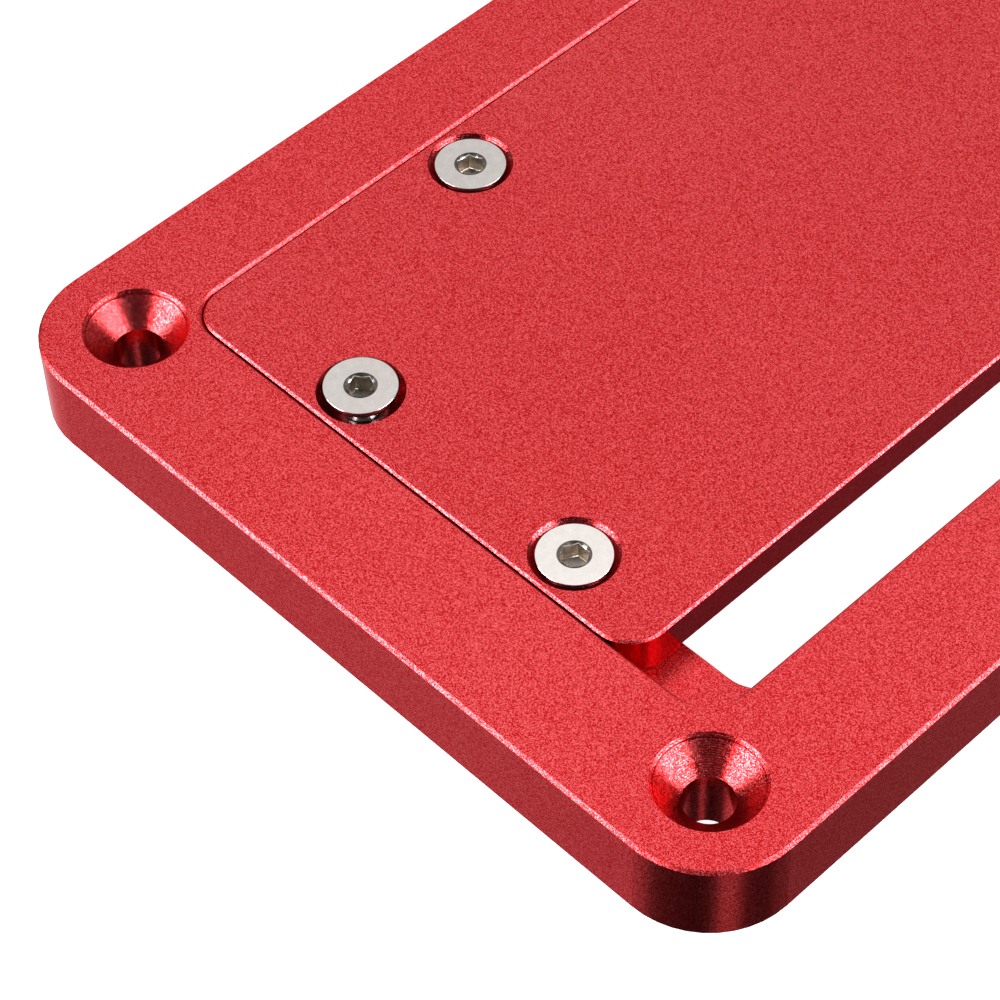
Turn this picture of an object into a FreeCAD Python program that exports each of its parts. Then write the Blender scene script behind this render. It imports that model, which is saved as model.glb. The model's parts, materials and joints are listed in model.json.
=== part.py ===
"""Drop-in insert plate for an upside-down saw or router table: a rebated frame, a lift-out insert and its screws.

Units are millimetres. The origin is the centre of the frame's underside, +X runs across the plate towards the
blade slot, +Y runs along the plate and +Z points up, out of the bench.
"""

import math
import os

import FreeCAD
import Part

V = FreeCAD.Vector
UP = V(0, 0, 1)

# Frame
LENGTH = 300.0
WIDTH = 100.0
THICKNESS = 10.0
CORNER_RADIUS = 10.0
EDGE_BREAK = 0.33            # chamfer on every outer and pocket edge

# Rebate for the insert, as the width of solid bar left on each side
BAR_LEFT = 11.85
BAR_RIGHT = 14.6
BAR_END = 14.9
POCKET_DEPTH = 4.5
POCKET_RADIUS = 4.4
LEDGE_WIDTH = 7.5            # on the left side and both ends; the slot side has no ledge
LEDGE_BREAK = 0.2

# Countersunk corner holes that fasten the frame to a bench
CORNER_HOLE_INSET = 10.0
CORNER_HOLE_RADIUS = 2.6
CORNER_SINK_RADIUS = 5.2     # top of the 90 degree cone
CORNER_MOUTH_RADIUS = 5.55   # chamfer above the cone
CORNER_STEP = 0.07           # short plain wall between that chamfer and the cone

# Insert
INSERT_GAP = 0.15            # to the pocket wall, all round the ledge
INSERT_BREAK = 0.22          # chamfer on the insert's edges
SLOT_WIDTH = 10.15           # left open between the insert and the right bar

# Insert screws: M4 countersunk, hexagon socket
SCREW_INSET = 5.2            # hole centre to the insert's edge
END_SCREW_OFFSETS = (20.7, 50.7)     # from the insert's left edge
SIDE_SCREW_OFFSET = 35.5     # from each of the insert's ends; a third screw sits midway
SINK_RADIUS = 4.57
CLEARANCE_RADIUS = 2.15
TAPPED_RADIUS = 2.05         # bore at the thread's major size, so the screw can slide and turn
TAPPED_MOUTH = 0.3
HEAD_RADIUS = 3.8
HEAD_RIM = 0.6
HEAD_RIM_BREAK = 0.06
HEAD_SUNK = 0.1              # head top below the insert's top face
PROUD_LIFT = 0.85            # the front left screw isn't run home
HEXAGON_TURNS = {            # where each screw's hexagon came to rest, in degrees
    "screw_front_left": 42,
    "screw_front_right": 0,
    "screw_back_left": 12,
    "screw_back_right": 51,
    "screw_side_front": 23,
    "screw_side_middle": 35,
    "screw_side_back": 5,
}
SCREW_LENGTH = 8.0
THREAD_RADIUS = 1.97
THREAD_ROOT = 1.63
THREAD_PITCH = 0.7
THREAD_RUNOUT = 0.2          # plain neck between the thread and the head's cone
TIP_BREAK = 0.3              # chamfer on the screw's end
SOCKET_FLATS = 2.65
SOCKET_DEPTH = 2.05
SOCKET_MOUTH_RADIUS = 1.73
SOCKET_MOUTH_SLOPE = 30.0    # of the shallow cone at the socket's mouth, in degrees
SOCKET_CONE = 0.5            # drill point below the hexagon

PAST = 1.0                   # how far a cutter runs past a face
SAME_HEIGHT = 1e-6           # tolerance when edges are picked by their height
LEDGE_Z = THICKNESS - POCKET_DEPTH

OUTLINE = (-WIDTH / 2, -LENGTH / 2, WIDTH / 2, LENGTH / 2)
POCKET = (
    OUTLINE[0] + BAR_LEFT,
    OUTLINE[1] + BAR_END,
    OUTLINE[2] - BAR_RIGHT,
    OUTLINE[3] - BAR_END,
)
OPENING = (POCKET[0] + LEDGE_WIDTH, POCKET[1] + LEDGE_WIDTH, POCKET[2], POCKET[3] - LEDGE_WIDTH)
INSERT = (
    POCKET[0] + INSERT_GAP,
    POCKET[1] + INSERT_GAP,
    POCKET[2] - SLOT_WIDTH,
    POCKET[3] - INSERT_GAP,
)


def grown(box, by):
    """The rectangle (x0, y0, x1, y1), larger by that much on each side."""
    return (box[0] - by, box[1] - by, box[2] + by, box[3] + by)


def slab(box, radius, bottom, top):
    """A flat plate over a rectangle with rounded corners."""
    x0, y0, x1, y1 = box
    arc = radius * (1 - math.sqrt(0.5))
    edges = [
        Part.LineSegment(V(x0 + radius, y0, bottom), V(x1 - radius, y0, bottom)),
        Part.Arc(V(x1 - radius, y0, bottom), V(x1 - arc, y0 + arc, bottom), V(x1, y0 + radius, bottom)),
        Part.LineSegment(V(x1, y0 + radius, bottom), V(x1, y1 - radius, bottom)),
        Part.Arc(V(x1, y1 - radius, bottom), V(x1 - arc, y1 - arc, bottom), V(x1 - radius, y1, bottom)),
        Part.LineSegment(V(x1 - radius, y1, bottom), V(x0 + radius, y1, bottom)),
        Part.Arc(V(x0 + radius, y1, bottom), V(x0 + arc, y1 - arc, bottom), V(x0, y1 - radius, bottom)),
        Part.LineSegment(V(x0, y1 - radius, bottom), V(x0, y0 + radius, bottom)),
        Part.Arc(V(x0, y0 + radius, bottom), V(x0 + arc, y0 + arc, bottom), V(x0 + radius, y0, bottom)),
    ]
    outline = Part.Wire([edge.toShape() for edge in edges])
    return Part.Face(outline).extrude(V(0, 0, top - bottom))


def chamfered(solid, size, *levels):
    """The solid with every edge that lies at one of those heights chamfered."""
    edges = [
        edge
        for edge in solid.Edges
        for level in levels
        if all(abs(vertex.Z - level) < SAME_HEIGHT for vertex in edge.Vertexes)
    ]
    return solid.makeChamfer(size, edges)


def flare(box, radius, size, level, up=True):
    """Cutter that puts a chamfer of that size round the mouth of a pocket, at the face at that height."""
    wide, wide_radius = grown(box, size), radius + size
    if up:
        return chamfered(slab(wide, wide_radius, level - size, level + PAST), size, level - size)
    return chamfered(slab(wide, wide_radius, level - PAST, level + size), size, level + size)


def turned(profile, x, y):
    """A solid of revolution about a vertical axis, from (radius, z) points."""
    points = [V(radius, 0, z) for radius, z in profile]
    face = Part.Face(Part.makePolygon(points + points[:1]))
    solid = face.revolve(V(0, 0, 0), UP, 360)
    solid.translate(V(x, y, 0))
    return solid


def corner_hole_places():
    """Centres of the four countersunk corner holes."""
    x = WIDTH / 2 - CORNER_HOLE_INSET
    y = LENGTH / 2 - CORNER_HOLE_INSET
    return [(-x, -y), (x, -y), (-x, y), (x, y)]


def screw_places():
    """Name and centre of each insert screw."""
    left, right = (INSERT[0] + offset for offset in END_SCREW_OFFSETS)
    front, back = INSERT[1] + SCREW_INSET, INSERT[3] - SCREW_INSET
    side = INSERT[0] + SCREW_INSET
    return {
        "screw_front_left": (left, front),
        "screw_front_right": (right, front),
        "screw_back_left": (left, back),
        "screw_back_right": (right, back),
        "screw_side_front": (side, INSERT[1] + SIDE_SCREW_OFFSET),
        "screw_side_middle": (side, 0.0),
        "screw_side_back": (side, INSERT[3] - SIDE_SCREW_OFFSET),
    }


def corner_hole(x, y):
    """Cutter for one countersunk corner hole: chamfered mouth, small step, 90 degree cone, clearance bore."""
    step_top = THICKNESS - (CORNER_MOUTH_RADIUS - CORNER_SINK_RADIUS)
    sink_top = step_top - CORNER_STEP
    sink_bottom = sink_top - (CORNER_SINK_RADIUS - CORNER_HOLE_RADIUS)
    profile = [
        (0, -PAST),
        (CORNER_HOLE_RADIUS, -PAST),
        (CORNER_HOLE_RADIUS, sink_bottom),
        (CORNER_SINK_RADIUS, sink_top),
        (CORNER_SINK_RADIUS, step_top),
        (CORNER_MOUTH_RADIUS, THICKNESS),
        (CORNER_MOUTH_RADIUS, THICKNESS + PAST),
        (0, THICKNESS + PAST),
    ]
    return turned(profile, x, y)


def tapped_hole(x, y):
    """Cutter for one tapped hole through the ledge, with a small lead-in at each face."""
    profile = [
        (0, -PAST),
        (TAPPED_RADIUS + TAPPED_MOUTH, -PAST),
        (TAPPED_RADIUS + TAPPED_MOUTH, 0),
        (TAPPED_RADIUS, TAPPED_MOUTH),
        (TAPPED_RADIUS, LEDGE_Z - TAPPED_MOUTH),
        (TAPPED_RADIUS + TAPPED_MOUTH, LEDGE_Z),
        (TAPPED_RADIUS + TAPPED_MOUTH, LEDGE_Z + PAST),
        (0, LEDGE_Z + PAST),
    ]
    return turned(profile, x, y)


def screw_hole(x, y):
    """Cutter for one countersunk clearance hole in the insert."""
    profile = [
        (0, LEDGE_Z - PAST),
        (CLEARANCE_RADIUS, LEDGE_Z - PAST),
        (CLEARANCE_RADIUS, THICKNESS - (SINK_RADIUS - CLEARANCE_RADIUS)),
        (SINK_RADIUS, THICKNESS),
        (SINK_RADIUS, THICKNESS + PAST),
        (0, THICKNESS + PAST),
    ]
    return turned(profile, x, y)


def frame_plate():
    """The outer plate: one machined piece with a rebate, a through opening and its holes."""
    plate = chamfered(slab(OUTLINE, CORNER_RADIUS, 0, THICKNESS), EDGE_BREAK, 0, THICKNESS)
    pocket = slab(POCKET, POCKET_RADIUS, LEDGE_Z, THICKNESS + PAST)
    ledge_edge = flare(OPENING, POCKET_RADIUS, LEDGE_BREAK, LEDGE_Z).common(
        slab(POCKET, POCKET_RADIUS, 0, THICKNESS)
    )
    cutters = [
        pocket,
        flare(POCKET, POCKET_RADIUS, EDGE_BREAK, THICKNESS),
        slab(OPENING, POCKET_RADIUS, -PAST, THICKNESS + PAST),
        flare(OPENING, POCKET_RADIUS, EDGE_BREAK, 0, up=False),
        ledge_edge,
    ]
    cutters += [corner_hole(x, y) for x, y in corner_hole_places()]
    cutters += [tapped_hole(x, y) for x, y in screw_places().values()]
    for cutter in cutters:
        plate = plate.cut(cutter)
    return plate


def insert_plate():
    """The lift-out insert, flush with the frame's top face."""
    radius = POCKET_RADIUS - INSERT_GAP
    plate = chamfered(slab(INSERT, radius, LEDGE_Z, THICKNESS), INSERT_BREAK, LEDGE_Z, THICKNESS)
    for x, y in screw_places().values():
        plate = plate.cut(screw_hole(x, y))
    return plate


def thread_profile(bottom, top):
    """(radius, z) points of the thread's rings, from bottom to top."""
    points = []
    count = int((top - bottom) / THREAD_PITCH)
    for turn in range(count):
        low = bottom + turn * THREAD_PITCH
        points += [(THREAD_ROOT, low), (THREAD_RADIUS, low + THREAD_PITCH / 2)]
    return points + [(THREAD_ROOT, bottom + count * THREAD_PITCH)]


def socket(top):
    """Cutter for the hexagon socket, with its chamfered mouth and drill point."""
    corner = SOCKET_FLATS / math.sqrt(3)
    floor = top - SOCKET_DEPTH
    corners = [
        V(corner * math.cos(math.radians(angle)), corner * math.sin(math.radians(angle)), floor)
        for angle in range(0, 360, 60)
    ]
    hexagon = Part.Face(Part.makePolygon(corners + corners[:1])).extrude(V(0, 0, SOCKET_DEPTH + PAST))
    mouth_width = SOCKET_MOUTH_RADIUS - SOCKET_FLATS / 2
    mouth_depth = mouth_width * math.tan(math.radians(SOCKET_MOUTH_SLOPE))
    mouth_profile = [
        (0, top - mouth_depth),
        (SOCKET_FLATS / 2, top - mouth_depth),
        (SOCKET_MOUTH_RADIUS, top),
        (SOCKET_MOUTH_RADIUS, top + PAST),
        (0, top + PAST),
    ]
    point_profile = [(0, floor - SOCKET_CONE), (SOCKET_FLATS / 2, floor), (0, floor)]
    mouth = turned(mouth_profile, 0, 0)
    point = turned(point_profile, 0, 0)
    return hexagon.fuse(mouth).fuse(point)


def screw(x, y, lift, turn):
    """One countersunk screw, standing that much above its seated height, turned that many degrees."""
    top = THICKNESS - HEAD_SUNK + lift
    cone_bottom = top - HEAD_RIM - (HEAD_RADIUS - THREAD_RADIUS)
    tip = top - SCREW_LENGTH
    profile = [(0, tip), (THREAD_ROOT - TIP_BREAK, tip)]
    profile += thread_profile(tip + TIP_BREAK, cone_bottom - THREAD_RUNOUT)
    profile += [
        (THREAD_ROOT, cone_bottom - THREAD_RUNOUT / 2),
        (THREAD_RADIUS, cone_bottom),
        (HEAD_RADIUS, top - HEAD_RIM),
        (HEAD_RADIUS, top - HEAD_RIM_BREAK),
        (HEAD_RADIUS - HEAD_RIM_BREAK, top),
        (0, top),
    ]
    body = turned(profile, 0, 0).cut(socket(top))
    body.rotate(V(0, 0, 0), UP, turn)
    body.translate(V(x, y, 0))
    return body


def main():
    """Builds every sub-part and writes it to parts/NAME.step."""
    os.makedirs("parts", exist_ok=True)
    parts = {"frame_plate": frame_plate(), "insert_plate": insert_plate()}
    for name, (x, y) in screw_places().items():
        lift = PROUD_LIFT if name == "screw_front_left" else 0.0
        parts[name] = screw(x, y, lift, HEXAGON_TURNS[name])
    for name, shape in parts.items():
        shape.exportStep(f"parts/{name}.step")
        print(name, "valid" if shape.isValid() else "INVALID", f"{shape.Volume:.1f} mm3")


main()
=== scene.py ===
import json
import math

import bmesh
import bpy
from mathutils import Matrix, Vector


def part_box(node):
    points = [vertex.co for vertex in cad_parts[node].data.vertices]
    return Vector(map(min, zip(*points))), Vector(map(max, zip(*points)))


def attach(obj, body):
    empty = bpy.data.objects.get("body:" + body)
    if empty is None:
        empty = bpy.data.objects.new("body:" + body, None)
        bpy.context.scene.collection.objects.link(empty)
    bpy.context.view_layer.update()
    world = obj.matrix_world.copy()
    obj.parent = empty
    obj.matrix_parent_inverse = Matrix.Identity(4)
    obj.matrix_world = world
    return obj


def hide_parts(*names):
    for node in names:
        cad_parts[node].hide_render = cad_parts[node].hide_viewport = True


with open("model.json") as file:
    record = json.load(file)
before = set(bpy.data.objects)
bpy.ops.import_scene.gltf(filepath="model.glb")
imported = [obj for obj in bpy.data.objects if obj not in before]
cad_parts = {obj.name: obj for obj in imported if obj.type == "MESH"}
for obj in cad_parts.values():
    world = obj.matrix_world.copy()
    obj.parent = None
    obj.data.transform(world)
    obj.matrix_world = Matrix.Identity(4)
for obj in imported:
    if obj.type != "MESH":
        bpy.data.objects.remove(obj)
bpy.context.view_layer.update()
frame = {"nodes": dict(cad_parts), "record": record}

MM = 0.001
FRAME_LOW, FRAME_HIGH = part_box("frame_plate")
TOP = FRAME_HIGH.z
FRONT = FRAME_LOW.y

# Camera: looks at a point on the top face near the front end; angles in degrees
AIM = Vector((2.85 * MM, FRONT + 19.95 * MM, TOP))
CAMERA_DISTANCE = 313.3 * MM
CAMERA_AZIMUTH = 46.97
CAMERA_ELEVATION = 49.95
CAMERA_ROLL = -1.9
CAMERA_LENS = 116.25
CAMERA_SENSOR = 36.0
CAMERA_CLIP = (0.01, 100.0)

# Two tilted strip panels, left and right of the camera: direction, roll in degrees, size, radiance
PANEL_DISTANCE = 0.9
PANELS = {
    "light_left": ((-0.47, -0.77, 0.44), 28, (0.8, 0.28), 14.0),
    "light_right": ((0.77, 0.44, 0.48), -27, (0.8, 0.27), 14.0),
}

# The studio's surround, as radiance. Below the horizon it changes with the direction's azimuth, in degrees
# from +X.
BELOW = (
    (-180, 0.85),
    (-162, 0.7),
    (-150, 0.66),
    (-128, 0.53),
    (-107, 0.1),
    (-60, 0.04),
    (-40, 0.06),
    (-28, 0.42),
    (-19, 0.42),
    (-4, 0.08),
    (22, 0.05),
    (45, 0.2),
    (75, 0.4),
    (115, 0.9),
    (155, 1.0),
    (180, 0.85),
)
# The band round the horizon, in the same way
HORIZON = (
    (-180, 0.25),
    (-150, 0.3),
    (-120, 0.5),
    (-20, 0.5),
    (20, 0.5),
    (55, 0.45),
    (80, 0.25),
    (180, 0.25),
)
DIM = 0.055                         # what is left everywhere else
# Where one zone gives way to the next, on the Z of the direction
BELOW_TO_HORIZON = (-0.57, -0.2)
HORIZON_TO_DIM = (0.35, 0.6)
# Soft patches above: direction, angle where the patch has ended, angle where it is full, level
PATCHES = (
    ((-0.55, 0.51, 0.66), 60, 20, 0.7),
    ((-0.20, 0.19, 0.96), 30, 5, 0.65),
)

# Floor: half its width, how far it lies below the plate, its finish and how strongly it glows
FLOOR_REACH = 40.0
FLOOR_DROP = 0.02 * MM
FLOOR_GREY = (0.8, 0.8, 0.8, 1.0)
FLOOR_ROUGHNESS = 0.9
FLOOR_GLOW = 0.98

# Faces of the plates, told apart by the Z of their normal. Each pair fades from 0 to 1.
NOT_WALL = (0.2, 0.5)
FLAT = (0.8, 0.98)
UNDERSIDE = (-0.2, -0.5)

# Grain of the anodised plates: textures per metre, and the middle part of a noise's values that is used
BLAST_SCALE = 10000.0
DENT_SCALE = 8500.0
CLOUD_SCALE = 26.0
NOISE_MIDDLE = (0.3, 0.7)
CLOUD_TONES = (0.46, 0.54)
TONE_SPREAD = 2.2
# The dye along the grain's tone
DYES = (
    (0.05, (0.50, 0.004, 0.006)),
    (0.5, (0.70, 0.026, 0.034)),
    (0.95, (0.92, 0.15, 0.16)),
)
# What each plate's dye is multiplied by all over, and the painted shade multiplied in on its walls and in its
# holes.
# Grazing is the tint of the metal's reflections at a low angle.
FRAME_DYES_AND_SHADES = {"all": 1.04, "wall": (0.93, 1.0, 1.0), "hole": (0.85, 0.9, 0.9), "grazing": (1.0, 0.56, 0.58)}
INSERT_DYES_AND_SHADES = {"all": 0.99, "wall": (0.7, 0.34, 0.45), "hole": (0.75, 0.9, 0.9), "grazing": (1.0, 0.62, 0.64)}
# Painted shade on the edges of the underside, multiplied into their colour
UNDERSIDE_EDGE_PAINTED_SHADE = (0.3, 0.3, 0.3)         # on the edges of the underside
INSERT_OFFSET = 0.4                 # shifts the insert's grain away from the frame's

# Roughness: flat faces, walls of each plate, what edges add, and how much the grain changes it
FLAT_ROUGHNESS = 0.3
FRAME_WALL_ROUGHNESS = 0.2
INSERT_WALL_ROUGHNESS = 0.14
EDGE_ROUGHNESS = 0.14
GRAIN_ROUGHNESS = 0.12

# Bump: its depth, its strength on plain faces and in countersinks, and what edges add to that
BUMP_DEPTH = 0.013 * MM
PLAIN_BUMP = 0.4
CONE_BUMP = 0.55
EDGE_BUMP = 0.4
DENT_HEIGHT = 0.9                   # of the dents, beside the grain's 1
WALL_GRAIN = 0.35                   # share of the grain's height that the walls keep

# Countersinks: the radius just outside them on each plate, and the turned rings in them
FRAME_RIM = 5.7 * MM
INSERT_RIM = 4.7 * MM
RIM_FADE = 0.1 * MM
RING_PITCH = 0.16 * MM
RING_WOBBLE = 0.12 * MM
RING_HEIGHT = 0.5
# Painted shade: a dark line painted on the step between the corner holes' rim chamfer and their cone
LINE_RADIUS = 5.2 * MM
LINE_WIDTHS = (0.02 * MM, 0.07 * MM)
PAINTED_STEP_SHADE = (0.3, 0.1, 0.1)

# Stainless steel: textures per metre, colours along the noise, roughness and bump
FINE_SCALE = 7000.0
SMEAR_SCALE = 900.0
BRIGHT_STEEL = (
    (0.3, (0.63, 0.58, 0.55)),
    (0.5, (0.69, 0.64, 0.61)),
    (0.7, (0.75, 0.70, 0.67)),
)
# The dull finish's colours: darker than the bright ones, partly a duller finish and partly painted shade in
# the socket and under the head
DULL_SHADED_STEEL = (
    (0.3, (0.28, 0.24, 0.20)),
    (0.5, (0.42, 0.37, 0.32)),
    (0.7, (0.56, 0.51, 0.46)),
)
STEEL_ROUGHNESS = (0.16, 0.24)
DULL_ROUGHNESS = 0.12               # what the dull finish adds
STEEL_BUMP_DEPTH = 0.002 * MM
STEEL_BUMP = 0.3

# Screw, in millimetres, as the CAD node has it
HEAD_RIM = 0.6
HEAD_RIM_BREAK = 0.012
THREAD_RADIUS = 1.97
THREAD_ROOT = 1.63
THREAD_PITCH = 0.7
# Share of a pitch, share of the thread's height
THREAD_SHAPE = ((0.0, 0.0), (0.13, 0.0), (0.5, 1.0), (0.63, 1.0))
NECK = 0.2
TIP_BREAK = 0.3
SOCKET_FLATS = 2.65
SOCKET_DEPTH = 2.05
SOCKET_MOUTH_RADIUS = 1.73
SOCKET_MOUTH_SLOPE = math.radians(30)
SOCKET_CONE = 0.45
BEVEL = 0.05                        # small broken edges inside the socket
LIP = 0.06                          # worn edge between the mouth and the hexagon
SEGMENTS = 96                       # round the screw, a multiple of the socket's six sides
WELD = 0.0005                       # corners closer than this are one
SHARP = math.radians(28)
# Looks of the screw's faces: share of the dull finish (rougher, with a darker colour that is partly painted
# shade), painted shade
SCREW_LOOKS = {
    "plain": (0.0, 1.0),
    # The rim, under the head and the mouth: painted shade in the second number
    "rim": (0.0, 0.5),
    "under_head": (0.3, 0.12),
    "mouth": (0.9, 0.4),
    "socket_wall": (1.0, 1.0),
    "socket_foot": (0.25, 1.0),
    "socket_floor": (0.75, 1.0),
    "socket_cone": (0.6, 1.0),
}
# Where each screw's hexagon came to rest, in degrees, and the painted brightness of its head, for how the
# light falls on each head
SCREWS = {
    "screw_front_left": (42, 1.07),
    "screw_front_right": (0, 1.32),
    "screw_back_left": (12, 1.05),
    "screw_back_right": (51, 1.12),
    "screw_side_front": (23, 1.06),
    "screw_side_middle": (35, 1.1),
    "screw_side_back": (5, 1.04),
}


def connect(tree, sockets, values):
    """Links each value that is another node's socket, and sets the others as defaults."""
    for socket, value in zip(sockets, values):
        if isinstance(value, bpy.types.NodeSocket):
            tree.links.new(value, socket)
        else:
            socket.default_value = value


def node(tree, kind, **values):
    """A new shader node; a value is a property, or the default or link of the socket of that name."""
    made = tree.nodes.new(kind)
    for key, value in values.items():
        if key in made.bl_rna.properties.keys():
            setattr(made, key, value)
        else:
            name = key.replace("_", " ").lower()
            sockets = [socket for socket in made.inputs if socket.name.lower() == name and socket.enabled]
            connect(tree, [sockets[0]], [value])
    return made


def math_node(tree, operation, *values, clamp=False):
    """A Math node over numbers and sockets; returns its output."""
    made = node(tree, "ShaderNodeMath", operation=operation, use_clamp=clamp)
    connect(tree, made.inputs, values)
    return made.outputs[0]


def vector_math(tree, operation, *values):
    """A Vector Math node over vectors and sockets; returns the node."""
    made = node(tree, "ShaderNodeVectorMath", operation=operation)
    connect(tree, made.inputs, values)
    return made


def total(tree, operation, values):
    """One Math operation over any number of sockets."""
    result = values[0]
    for value in values[1:]:
        result = math_node(tree, operation, result, value)
    return result


def map_range(tree, value, low, high, to_low=0.0, to_high=1.0, smooth=False):
    """value mapped from low..high to to_low..to_high, clamped."""
    made = node(tree, "ShaderNodeMapRange", interpolation_type="SMOOTHSTEP" if smooth else "LINEAR")
    names = ("Value", "From Min", "From Max", "To Min", "To Max")
    connect(tree, [made.inputs[name] for name in names], (value, low, high, to_low, to_high))
    return made.outputs["Result"]


def noise(tree, place, scale, detail, roughness):
    """A noise over a place socket; returns its value."""
    made = node(tree, "ShaderNodeTexNoise", Vector=place, Scale=scale, Detail=detail, Roughness=roughness)
    return made.outputs["Fac"]


def ramp(tree, value, stops):
    """A Color Ramp over (position, grey level or colour) stops."""
    made = tree.nodes.new("ShaderNodeValToRGB")
    elements = made.color_ramp.elements
    elements.remove(elements[1])
    for index, (position, level) in enumerate(stops):
        element = elements[0] if index == 0 else elements.new(position)
        element.position = position
        element.color = (*level, 1.0) if isinstance(level, tuple) else (level, level, level, 1.0)
    tree.links.new(value, made.inputs["Fac"])
    return made.outputs["Color"]


def mix(tree, factor, first, second):
    """Two numbers or sockets mixed by a socket from 0, first, to 1, second."""
    made = tree.nodes.new("ShaderNodeMix")
    connect(tree, [made.inputs[name] for name in ("Factor", "A", "B")], (factor, first, second))
    return made.outputs["Result"]


def mix_colours(tree, factor, first, second, blend="MIX"):
    """Two colours or colour sockets blended as far as the factor socket says."""
    made = node(tree, "ShaderNodeMix", data_type="RGBA", blend_type=blend)
    connect(tree, (made.inputs[0], made.inputs[6], made.inputs[7]), (factor, first, second))
    return made.outputs[2]


def tinted(tree, factor, colour, tint):
    """A colour socket multiplied by a tint, as far as the factor socket says."""
    return mix_colours(tree, factor, colour, (*tint, 1.0), "MULTIPLY")


def new_material(name):
    """An empty node material: (material, tree, shader)."""
    material = bpy.data.materials.new(name)
    material.use_nodes = True
    tree = material.node_tree
    tree.nodes.clear()
    shader = tree.nodes.new("ShaderNodeBsdfPrincipled")
    output = tree.nodes.new("ShaderNodeOutputMaterial")
    tree.links.new(shader.outputs[0], output.inputs["Surface"])
    return material, tree, shader


def add_bump(tree, shader, height, strength, depth):
    """Bump on a shader; the height and the strength are sockets or numbers."""
    bump = node(tree, "ShaderNodeBump", Distance=depth, Height=height, Strength=strength)
    tree.links.new(bump.outputs[0], shader.inputs["Normal"])


def centre(name):
    """Centre of a CAD node's box."""
    low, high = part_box(name)
    return (low + high) / 2


def corner_hole_places():
    """Where the corner holes are, folded into the positive quarter."""
    bolts = next(mount for mount in frame["record"]["mounts"] if mount["kind"] == "bolt_pattern")
    return [(bolts["dims"]["spacing_x_mm"] / 2 * MM, bolts["dims"]["spacing_y_mm"] / 2 * MM)]


def screw_hole_places():
    """Where the insert's screw holes are, folded into the back half."""
    spots = (centre(name) for name in SCREWS)
    return sorted({(round(spot.x, 5), abs(round(spot.y, 5))) for spot in spots})


def hole_radius(tree, coord, places, fold_x):
    """Distance from the nearest hole's axis; the holes repeat across the plate's middle."""
    axes = node(tree, "ShaderNodeSeparateXYZ", Vector=coord)
    x = math_node(tree, "ABSOLUTE", axes.outputs["X"]) if fold_x else axes.outputs["X"]
    y = math_node(tree, "ABSOLUTE", axes.outputs["Y"])
    spot = node(tree, "ShaderNodeCombineXYZ", X=x, Y=y).outputs[0]
    gaps = [vector_math(tree, "DISTANCE", spot, (*place, 0.0)).outputs["Value"] for place in places]
    return total(tree, "MINIMUM", gaps)


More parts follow.
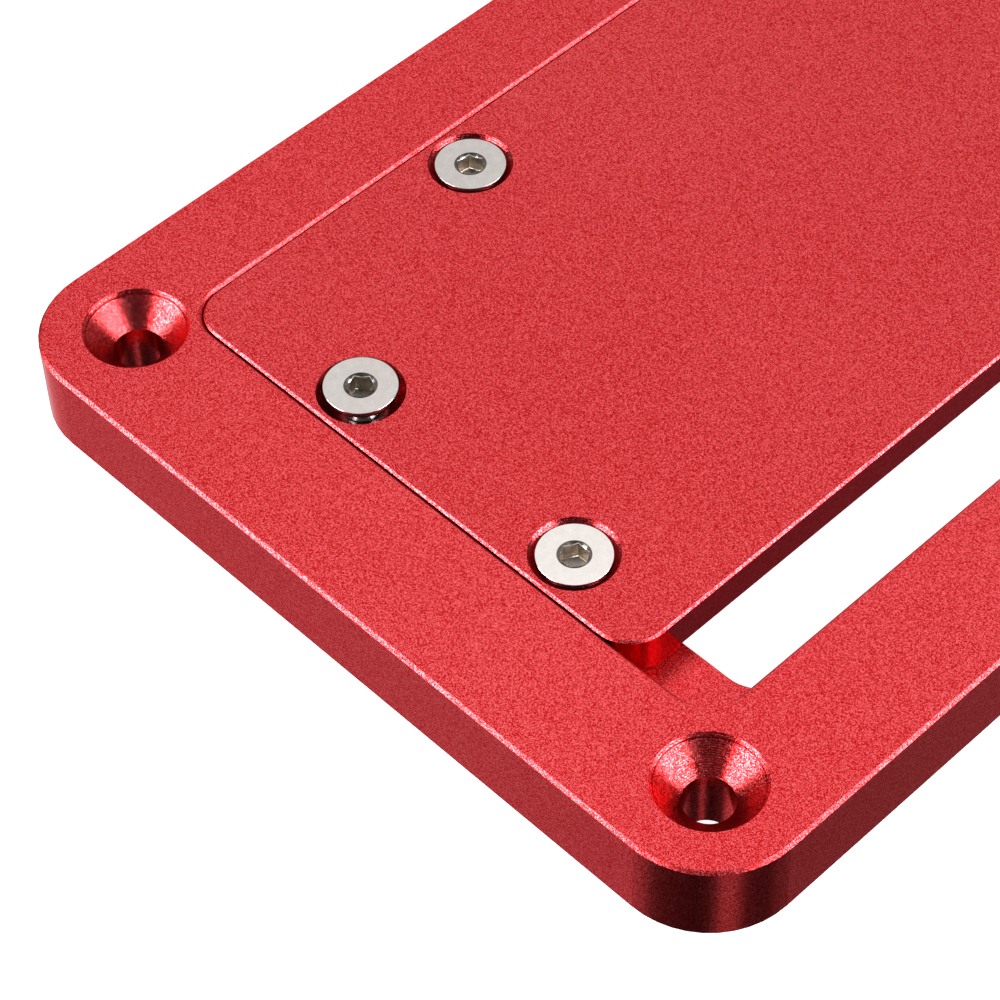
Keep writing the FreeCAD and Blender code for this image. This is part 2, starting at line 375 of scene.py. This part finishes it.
def anodised(name, dyes_and_shades, wall_roughness, offset, places, rim, fold_x, line=None):
    """Red anodised aluminium, bead-blasted all over, with finer walls and turned rings in its countersinks.

    dyes_and_shades: the dye's multiplier all over, and the painted shade on walls and in holes, as in
    FRAME_DYES_AND_SHADES. offset: shifts the grain.
    places, rim, fold_x: where the countersinks are, how far they reach, and whether they repeat across the
    middle in X too. line: radius of a dark line of painted shade in them.
    """
    material, tree, shader = new_material(name)
    coord = tree.nodes.new("ShaderNodeTexCoord").outputs["Object"]
    geometry = tree.nodes.new("ShaderNodeNewGeometry")
    normal_z = node(tree, "ShaderNodeSeparateXYZ", Vector=geometry.outputs["True Normal"]).outputs["Z"]
    upness = math_node(tree, "ABSOLUTE", normal_z)
    flat = map_range(tree, upness, *FLAT)
    not_wall = map_range(tree, upness, *NOT_WALL)
    under = map_range(tree, normal_z, *UNDERSIDE)
    slanted = math_node(tree, "SUBTRACT", not_wall, flat, clamp=True)
    radius = hole_radius(tree, coord, places, fold_x)
    in_hole = map_range(tree, radius, rim, rim + RIM_FADE, 1.0, 0.0)
    cone = math_node(tree, "MULTIPLY", slanted, in_hole)
    edge = math_node(tree, "SUBTRACT", slanted, cone)
    wall = math_node(tree, "SUBTRACT", 1.0, math_node(tree, "MAXIMUM", not_wall, in_hole))
    hole = math_node(tree, "MULTIPLY", in_hole, math_node(tree, "SUBTRACT", 1.0, flat))

    place = vector_math(tree, "ADD", coord, (offset, 0.7 * offset, 0.0)).outputs[0]
    cells = node(tree, "ShaderNodeTexVoronoi", Vector=place, Scale=BLAST_SCALE)
    cell = node(tree, "ShaderNodeSeparateXYZ", Vector=cells.outputs["Color"]).outputs["X"]
    fine = map_range(tree, noise(tree, place, BLAST_SCALE, 1.0, 0.6), *NOISE_MIDDLE)
    coarse = noise(tree, place, DENT_SCALE, 2.0, 0.5)
    cloud = noise(tree, place, CLOUD_SCALE, 3.0, 0.5)
    grain = math_node(tree, "MULTIPLY_ADD", fine, 0.5, math_node(tree, "MULTIPLY", cell, 0.5))
    centred = math_node(tree, "SUBTRACT", grain, 0.5)

    drift = map_range(tree, cloud, *NOISE_MIDDLE, *CLOUD_TONES)
    tone = math_node(tree, "MULTIPLY_ADD", centred, TONE_SPREAD, drift)
    dyed_and_shaded = ramp(tree, tone, [(at, tuple(dyes_and_shades["all"] * part for part in dye)) for at, dye in DYES])
    # Painted shade: the walls' and the holes' colour darkened and deepened by the two tints below
    dyed_and_shaded = tinted(tree, wall, dyed_and_shaded, dyes_and_shades["wall"])
    dyed_and_shaded = tinted(tree, hole, dyed_and_shaded, dyes_and_shades["hole"])
    # Painted shade on the underside's edges
    dyed_and_shaded = tinted(tree, math_node(tree, "MULTIPLY", under, edge), dyed_and_shaded, UNDERSIDE_EDGE_PAINTED_SHADE)
    # Painted shade: a dark line at that radius in the countersinks
    if line:
        nearness = math_node(tree, "ABSOLUTE", math_node(tree, "SUBTRACT", radius, line))
        on_line = map_range(tree, nearness, *LINE_WIDTHS, 1.0, 0.0)
        dyed_and_shaded = tinted(tree, math_node(tree, "MULTIPLY", on_line, slanted), dyed_and_shaded, PAINTED_STEP_SHADE)
    tree.links.new(dyed_and_shaded, shader.inputs["Base Color"])

    rough = mix(tree, flat, wall_roughness, FLAT_ROUGHNESS)
    rough = math_node(tree, "MULTIPLY_ADD", edge, EDGE_ROUGHNESS, rough)
    rough = math_node(tree, "MULTIPLY_ADD", centred, GRAIN_ROUGHNESS, rough)
    tree.links.new(rough, shader.inputs["Roughness"])

    wobble = math_node(tree, "MULTIPLY", coarse, RING_WOBBLE)
    turns = math_node(tree, "MULTIPLY", math_node(tree, "ADD", radius, wobble), 2 * math.pi / RING_PITCH)
    ring_height = math_node(tree, "MULTIPLY", cone, RING_HEIGHT)
    rings = math_node(tree, "MULTIPLY", math_node(tree, "SINE", turns), ring_height)
    dents = math_node(tree, "MULTIPLY_ADD", coarse, DENT_HEIGHT, grain)
    blasted = math_node(tree, "MULTIPLY", dents, mix(tree, not_wall, WALL_GRAIN, 1.0))
    height = math_node(tree, "ADD", blasted, rings)
    strength = math_node(tree, "MULTIPLY_ADD", edge, EDGE_BUMP, mix(tree, cone, PLAIN_BUMP, CONE_BUMP))
    add_bump(tree, shader, height, strength, BUMP_DEPTH)

    shader.inputs["Metallic"].default_value = 1.0
    shader.inputs["Specular Tint"].default_value = (*dyes_and_shades["grazing"], 1.0)
    return material


def stainless(name):
    """Plain stainless steel: fine satin head, rougher and partly painted darker in the socket, painted shade
    on the rim, the mouth and under the head, and a painted brightness for each head.
    """
    material, tree, shader = new_material(name)
    coord = tree.nodes.new("ShaderNodeTexCoord").outputs["Object"]
    inside, painted_brightness, shade = (
        node(tree, "ShaderNodeAttribute", attribute_name=label).outputs["Fac"]
        for label in ("inside", "painted_brightness", "shade")
    )
    fine = noise(tree, coord, FINE_SCALE, 2.0, 0.6)
    smear = noise(tree, coord, SMEAR_SCALE, 3.0, 0.55)
    sheen = math_node(tree, "MULTIPLY_ADD", fine, 0.5, math_node(tree, "MULTIPLY", smear, 0.5))
    bright = ramp(tree, sheen, BRIGHT_STEEL)
    dull = ramp(tree, smear, DULL_SHADED_STEEL)
    # The dull colour's darkness: partly a duller finish, partly painted shade in the socket and under the
    # head
    colour = mix_colours(tree, inside, bright, dull)
    # Painted light and shade: the head's painted brightness times the face's painted shade
    level = math_node(tree, "MULTIPLY", painted_brightness, shade)
    lit = node(tree, "ShaderNodeVectorMath", operation="SCALE", Scale=level)
    tree.links.new(colour, lit.inputs[0])
    tree.links.new(lit.outputs[0], shader.inputs["Base Color"])
    rough = map_range(tree, sheen, *NOISE_MIDDLE, *STEEL_ROUGHNESS)
    rough = math_node(tree, "MULTIPLY_ADD", inside, DULL_ROUGHNESS, rough)
    tree.links.new(rough, shader.inputs["Roughness"])
    add_bump(tree, shader, sheen, STEEL_BUMP, STEEL_BUMP_DEPTH)
    shader.inputs["Metallic"].default_value = 1.0
    return material


def hexagon_radius(angle):
    """From the socket's axis to its wall, in that direction."""
    return SOCKET_FLATS / 2 / math.cos(angle % (math.pi / 3) - math.pi / 6)


def mouth_depth(radius):
    """How far the socket's shallow mouth cone lies below the head's top face."""
    return (SOCKET_MOUTH_RADIUS - radius) * math.tan(SOCKET_MOUTH_SLOPE)


def mouth_edge(angle):
    """Ring of the screw's mesh: where the mouth cone meets the worn lip."""
    radius = hexagon_radius(angle) + LIP
    return radius, -mouth_depth(radius)


def wall_top(angle):
    """Ring of the screw's mesh: where the lip meets the hexagon's walls."""
    radius = hexagon_radius(angle)
    return radius, -mouth_depth(radius) - LIP


def wall_foot(angle):
    """Ring of the screw's mesh: lower end of the hexagon's walls."""
    return hexagon_radius(angle), -SOCKET_DEPTH + BEVEL


def floor_edge(angle):
    """Ring of the screw's mesh: outer edge of the socket's flat floor."""
    return hexagon_radius(angle) - BEVEL, -SOCKET_DEPTH


def circle(radius, height):
    """A round ring for the screw's mesh: a function from the angle to (radius, height)."""
    return lambda angle: (radius, height)


def mark(mesh, face, look):
    """Gives a face of the screw its share of the dull finish, partly painted shade, and its painted shade."""
    layers = mesh.faces.layers.float
    face[layers["inside"]], face[layers["shade"]] = SCREW_LOOKS[look]


def add_rings(mesh, rings, look="plain"):
    """Quads between rings, each a function from the angle to (radius, height). Returns the rings' corners."""
    rows = []
    for ring in rings:
        row = []
        for step in range(SEGMENTS):
            angle = 2 * math.pi * step / SEGMENTS
            radius, height = ring(angle)
            row.append(mesh.verts.new((radius * math.cos(angle), radius * math.sin(angle), height)))
        rows.append(row)
    for inner, outer in zip(rows, rows[1:]):
        for step in range(SEGMENTS):
            after = (step + 1) % SEGMENTS
            mark(mesh, mesh.faces.new((inner[step], outer[step], outer[after], inner[after])), look)
    return rows


def add_cap(mesh, row, height, look="plain"):
    """Closes a ring with a fan of triangles to a point on the axis."""
    tip = mesh.verts.new((0, 0, height))
    for step in range(SEGMENTS):
        mark(mesh, mesh.faces.new((row[step], row[(step + 1) % SEGMENTS], tip)), look)


def add_thread(mesh, low, high):
    """A helical thread between two heights, fading into the root at both ends."""
    count = len(THREAD_SHAPE)
    turns = math.ceil((high - low) / THREAD_PITCH) + 1
    columns = []
    for step in range(SEGMENTS + 1):
        angle = 2 * math.pi * step / SEGMENTS
        column = []
        for row in range(-count, turns * count + 1):
            turn, (share, rise) = row // count, THREAD_SHAPE[row % count]
            height = low + THREAD_PITCH * (turn + share + step / SEGMENTS - 1)
            fade = min(1, max(0, (height - low) / TIP_BREAK)) * min(1, max(0, (high - height) / NECK))
            radius = THREAD_ROOT + (THREAD_RADIUS - THREAD_ROOT) * rise * fade
            height = min(high, max(low, height))
            column.append(mesh.verts.new((radius * math.cos(angle), radius * math.sin(angle), height)))
        columns.append(column)
    for left, right in zip(columns, columns[1:]):
        for row in range(len(left) - 1):
            mark(mesh, mesh.faces.new((left[row], right[row], right[row + 1], left[row + 1])), "plain")


def screw_mesh(name, head, tip, painted_brightness):
    """A closed mesh of a countersunk screw, its head's top face at the origin.

    head: the head's radius, and tip: the tip's height, both in millimetres. polish: the painted brightness of
    the head, for how the light falls on it.
    """
    neck = -HEAD_RIM - (head - THREAD_RADIUS)
    mesh = bmesh.new()
    for layer in ("inside", "shade"):
        mesh.faces.layers.float.new(layer)

    add_rings(mesh, [wall_top, wall_foot], "socket_wall")
    floor_middle = circle(SOCKET_FLATS / 2 - 3 * BEVEL, -SOCKET_DEPTH)
    bottom = add_rings(mesh, [floor_edge, floor_middle], "socket_floor")
    add_cap(mesh, bottom[-1], -SOCKET_DEPTH - SOCKET_CONE, "socket_cone")
    add_rings(mesh, [wall_foot, floor_edge], "socket_foot")
    add_rings(mesh, [wall_top, mouth_edge])
    add_rings(mesh, [mouth_edge, circle(SOCKET_MOUTH_RADIUS, 0)], "mouth")
    add_rings(mesh, [
        circle(SOCKET_MOUTH_RADIUS, 0),
        circle(head - HEAD_RIM_BREAK, 0),
        circle(head, -HEAD_RIM_BREAK),
    ])
    add_rings(mesh, [circle(head, -HEAD_RIM_BREAK), circle(head, -HEAD_RIM)], "rim")
    add_rings(mesh, [circle(head, -HEAD_RIM), circle(THREAD_RADIUS, neck)], "under_head")
    add_rings(mesh, [
        circle(THREAD_RADIUS, neck),
        circle(THREAD_ROOT, neck - NECK / 2),
        circle(THREAD_ROOT, neck - NECK),
    ])
    end = add_rings(mesh, [circle(THREAD_ROOT, tip + TIP_BREAK), circle(THREAD_ROOT - TIP_BREAK, tip)])
    add_cap(mesh, end[-1], tip)
    add_thread(mesh, tip + TIP_BREAK, neck - NECK)

    bmesh.ops.scale(mesh, vec=(MM, MM, MM), verts=mesh.verts)
    bmesh.ops.remove_doubles(mesh, verts=mesh.verts, dist=WELD * MM)
    bmesh.ops.dissolve_degenerate(mesh, edges=mesh.edges, dist=WELD * MM)
    bmesh.ops.recalc_face_normals(mesh, faces=mesh.faces)
    data = bpy.data.meshes.new(name)
    mesh.to_mesh(data)
    mesh.free()
    data.shade_smooth()
    data.set_sharp_from_angle(angle=SHARP)
    # Painted light: each head's own brightness, multiplied into its colour
    data.attributes.new("painted_brightness", "FLOAT", "POINT").data.foreach_set("value", [painted_brightness] * len(data.vertices))
    return data


def add_screw(name, turn, painted_brightness, material):
    """A countersunk screw with a hexagon socket and a cut thread, in place of its CAD node."""
    low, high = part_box(name)
    data = screw_mesh(name + "_detailed", (high.x - low.x) / 2 / MM, (low.z - high.z) / MM, painted_brightness)
    data.materials.append(material)
    piece = bpy.data.objects.new(name + "_detailed", data)
    middle = centre(name)
    piece.location = (middle.x, middle.y, high.z)
    piece.rotation_euler.z = math.radians(turn)
    bpy.context.scene.collection.objects.link(piece)
    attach(piece, name)
    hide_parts(name)


def add_screws():
    """All seven insert screws."""
    steel = stainless("stainless_screw")
    for name, (turn, painted_brightness) in SCREWS.items():
        add_screw(name, turn, painted_brightness, steel)


def finish_plates():
    """Gives the two plates their material."""
    frame_look = anodised(
        "anodised_frame", FRAME_DYES_AND_SHADES, FRAME_WALL_ROUGHNESS, 0.0,
        corner_hole_places(), FRAME_RIM, fold_x=True, line=LINE_RADIUS,
    )
    insert_look = anodised(
        "anodised_insert", INSERT_DYES_AND_SHADES, INSERT_WALL_ROUGHNESS, INSERT_OFFSET,
        screw_hole_places(), INSERT_RIM, fold_x=False,
    )
    frame["nodes"]["frame_plate"].material_slots[0].material = frame_look
    frame["nodes"]["insert_plate"].material_slots[0].material = insert_look


def add_panel(name, toward, roll, size, radiance):
    """A soft light panel that faces the aim point from that direction, rolled about it."""
    data = bpy.data.lights.new(name, "AREA")
    data.shape = "RECTANGLE"
    data.size, data.size_y = size
    data.energy = radiance * math.pi * data.size * data.size_y
    light = bpy.data.objects.new(name, data)
    back = Vector(toward).normalized()
    light.location = AIM + back * PANEL_DISTANCE
    turn = Matrix.Rotation(math.radians(roll), 3, "Z")
    light.rotation_euler = ((-back).to_track_quat("-Z", "Y").to_matrix() @ turn).to_euler()
    light.visible_camera = False
    bpy.context.scene.collection.objects.link(light)


def surround_level(tree):
    """The surround's radiance, from the direction looked in."""
    direction = tree.nodes.new("ShaderNodeTexCoord").outputs["Generated"]
    axes = node(tree, "ShaderNodeSeparateXYZ", Vector=direction)
    rise = axes.outputs["Z"]
    azimuth = math_node(tree, "ARCTAN2", axes.outputs["Y"], axes.outputs["X"])
    turn = math_node(tree, "MULTIPLY_ADD", azimuth, 1 / (2 * math.pi), 0.5)
    below, around = (
        ramp(tree, turn, [(degrees / 360 + 0.5, level) for degrees, level in levels])
        for levels in (BELOW, HORIZON)
    )
    low_part = mix(tree, map_range(tree, rise, *BELOW_TO_HORIZON, smooth=True), below, around)
    sides = mix(tree, map_range(tree, rise, *HORIZON_TO_DIM, smooth=True), low_part, DIM)
    levels = [sides]
    for toward, end, full, level in PATCHES:
        nearness = vector_math(tree, "DOT_PRODUCT", direction, Vector(toward).normalized()).outputs["Value"]
        edges = (math.cos(math.radians(end)), math.cos(math.radians(full)))
        levels.append(map_range(tree, nearness, *edges, 0.0, level, smooth=True))
    return total(tree, "ADD", levels)


def add_world():
    """The surround for reflections, and plain white for the camera."""
    world = bpy.data.worlds.new("surround")
    bpy.context.scene.world = world
    world.use_nodes = True
    tree = world.node_tree
    tree.nodes.clear()
    white = (1.0, 1.0, 1.0, 1.0)
    surround = node(tree, "ShaderNodeBackground", Color=white, Strength=surround_level(tree))
    backdrop = node(tree, "ShaderNodeBackground", Color=white, Strength=1.0)
    path = tree.nodes.new("ShaderNodeLightPath")
    choice = tree.nodes.new("ShaderNodeMixShader")
    connect(tree, choice.inputs, (path.outputs["Is Camera Ray"], surround.outputs[0], backdrop.outputs[0]))
    output = tree.nodes.new("ShaderNodeOutputWorld")
    tree.links.new(choice.outputs[0], output.inputs["Surface"])


def add_floor():
    """A plain white floor under the plate."""
    corners = [(x * FLOOR_REACH, y * FLOOR_REACH, 0) for x, y in ((-1, -1), (1, -1), (1, 1), (-1, 1))]
    mesh = bpy.data.meshes.new("floor")
    mesh.from_pydata(corners, [], [(0, 1, 2, 3)])
    floor = bpy.data.objects.new("floor", mesh)
    floor.location.z = FRAME_LOW.z - FLOOR_DROP
    bpy.context.scene.collection.objects.link(floor)
    material, tree, shader = new_material("floor")
    shader.inputs["Base Color"].default_value = FLOOR_GREY
    shader.inputs["Roughness"].default_value = FLOOR_ROUGHNESS
    shader.inputs["Emission Color"].default_value = (1.0, 1.0, 1.0, 1.0)
    shader.inputs["Emission Strength"].default_value = FLOOR_GLOW
    mesh.materials.append(material)
    floor.visible_glossy = False


def add_camera():
    """The camera, at the viewing angle and distance of the product shot."""
    data = bpy.data.cameras.new("camera")
    data.lens, data.sensor_width = CAMERA_LENS, CAMERA_SENSOR
    data.clip_start, data.clip_end = CAMERA_CLIP
    camera = bpy.data.objects.new("camera", data)
    azimuth, elevation = math.radians(CAMERA_AZIMUTH), math.radians(CAMERA_ELEVATION)
    back = Vector((
        math.sin(azimuth) * math.cos(elevation),
        -math.cos(azimuth) * math.cos(elevation),
        math.sin(elevation),
    ))
    look = (-back).to_track_quat("-Z", "Y").to_matrix().to_4x4()
    roll = Matrix.Rotation(math.radians(CAMERA_ROLL), 4, "Z")
    camera.matrix_world = Matrix.Translation(AIM + back * CAMERA_DISTANCE) @ look @ roll
    bpy.context.scene.collection.objects.link(camera)
    bpy.context.scene.camera = camera


bpy.context.scene.view_settings.view_transform = "Standard"
add_camera()
finish_plates()
add_screws()
for name, (toward, roll, size, radiance) in PANELS.items():
    add_panel(name, toward, roll, size, radiance)
add_world()
add_floor()
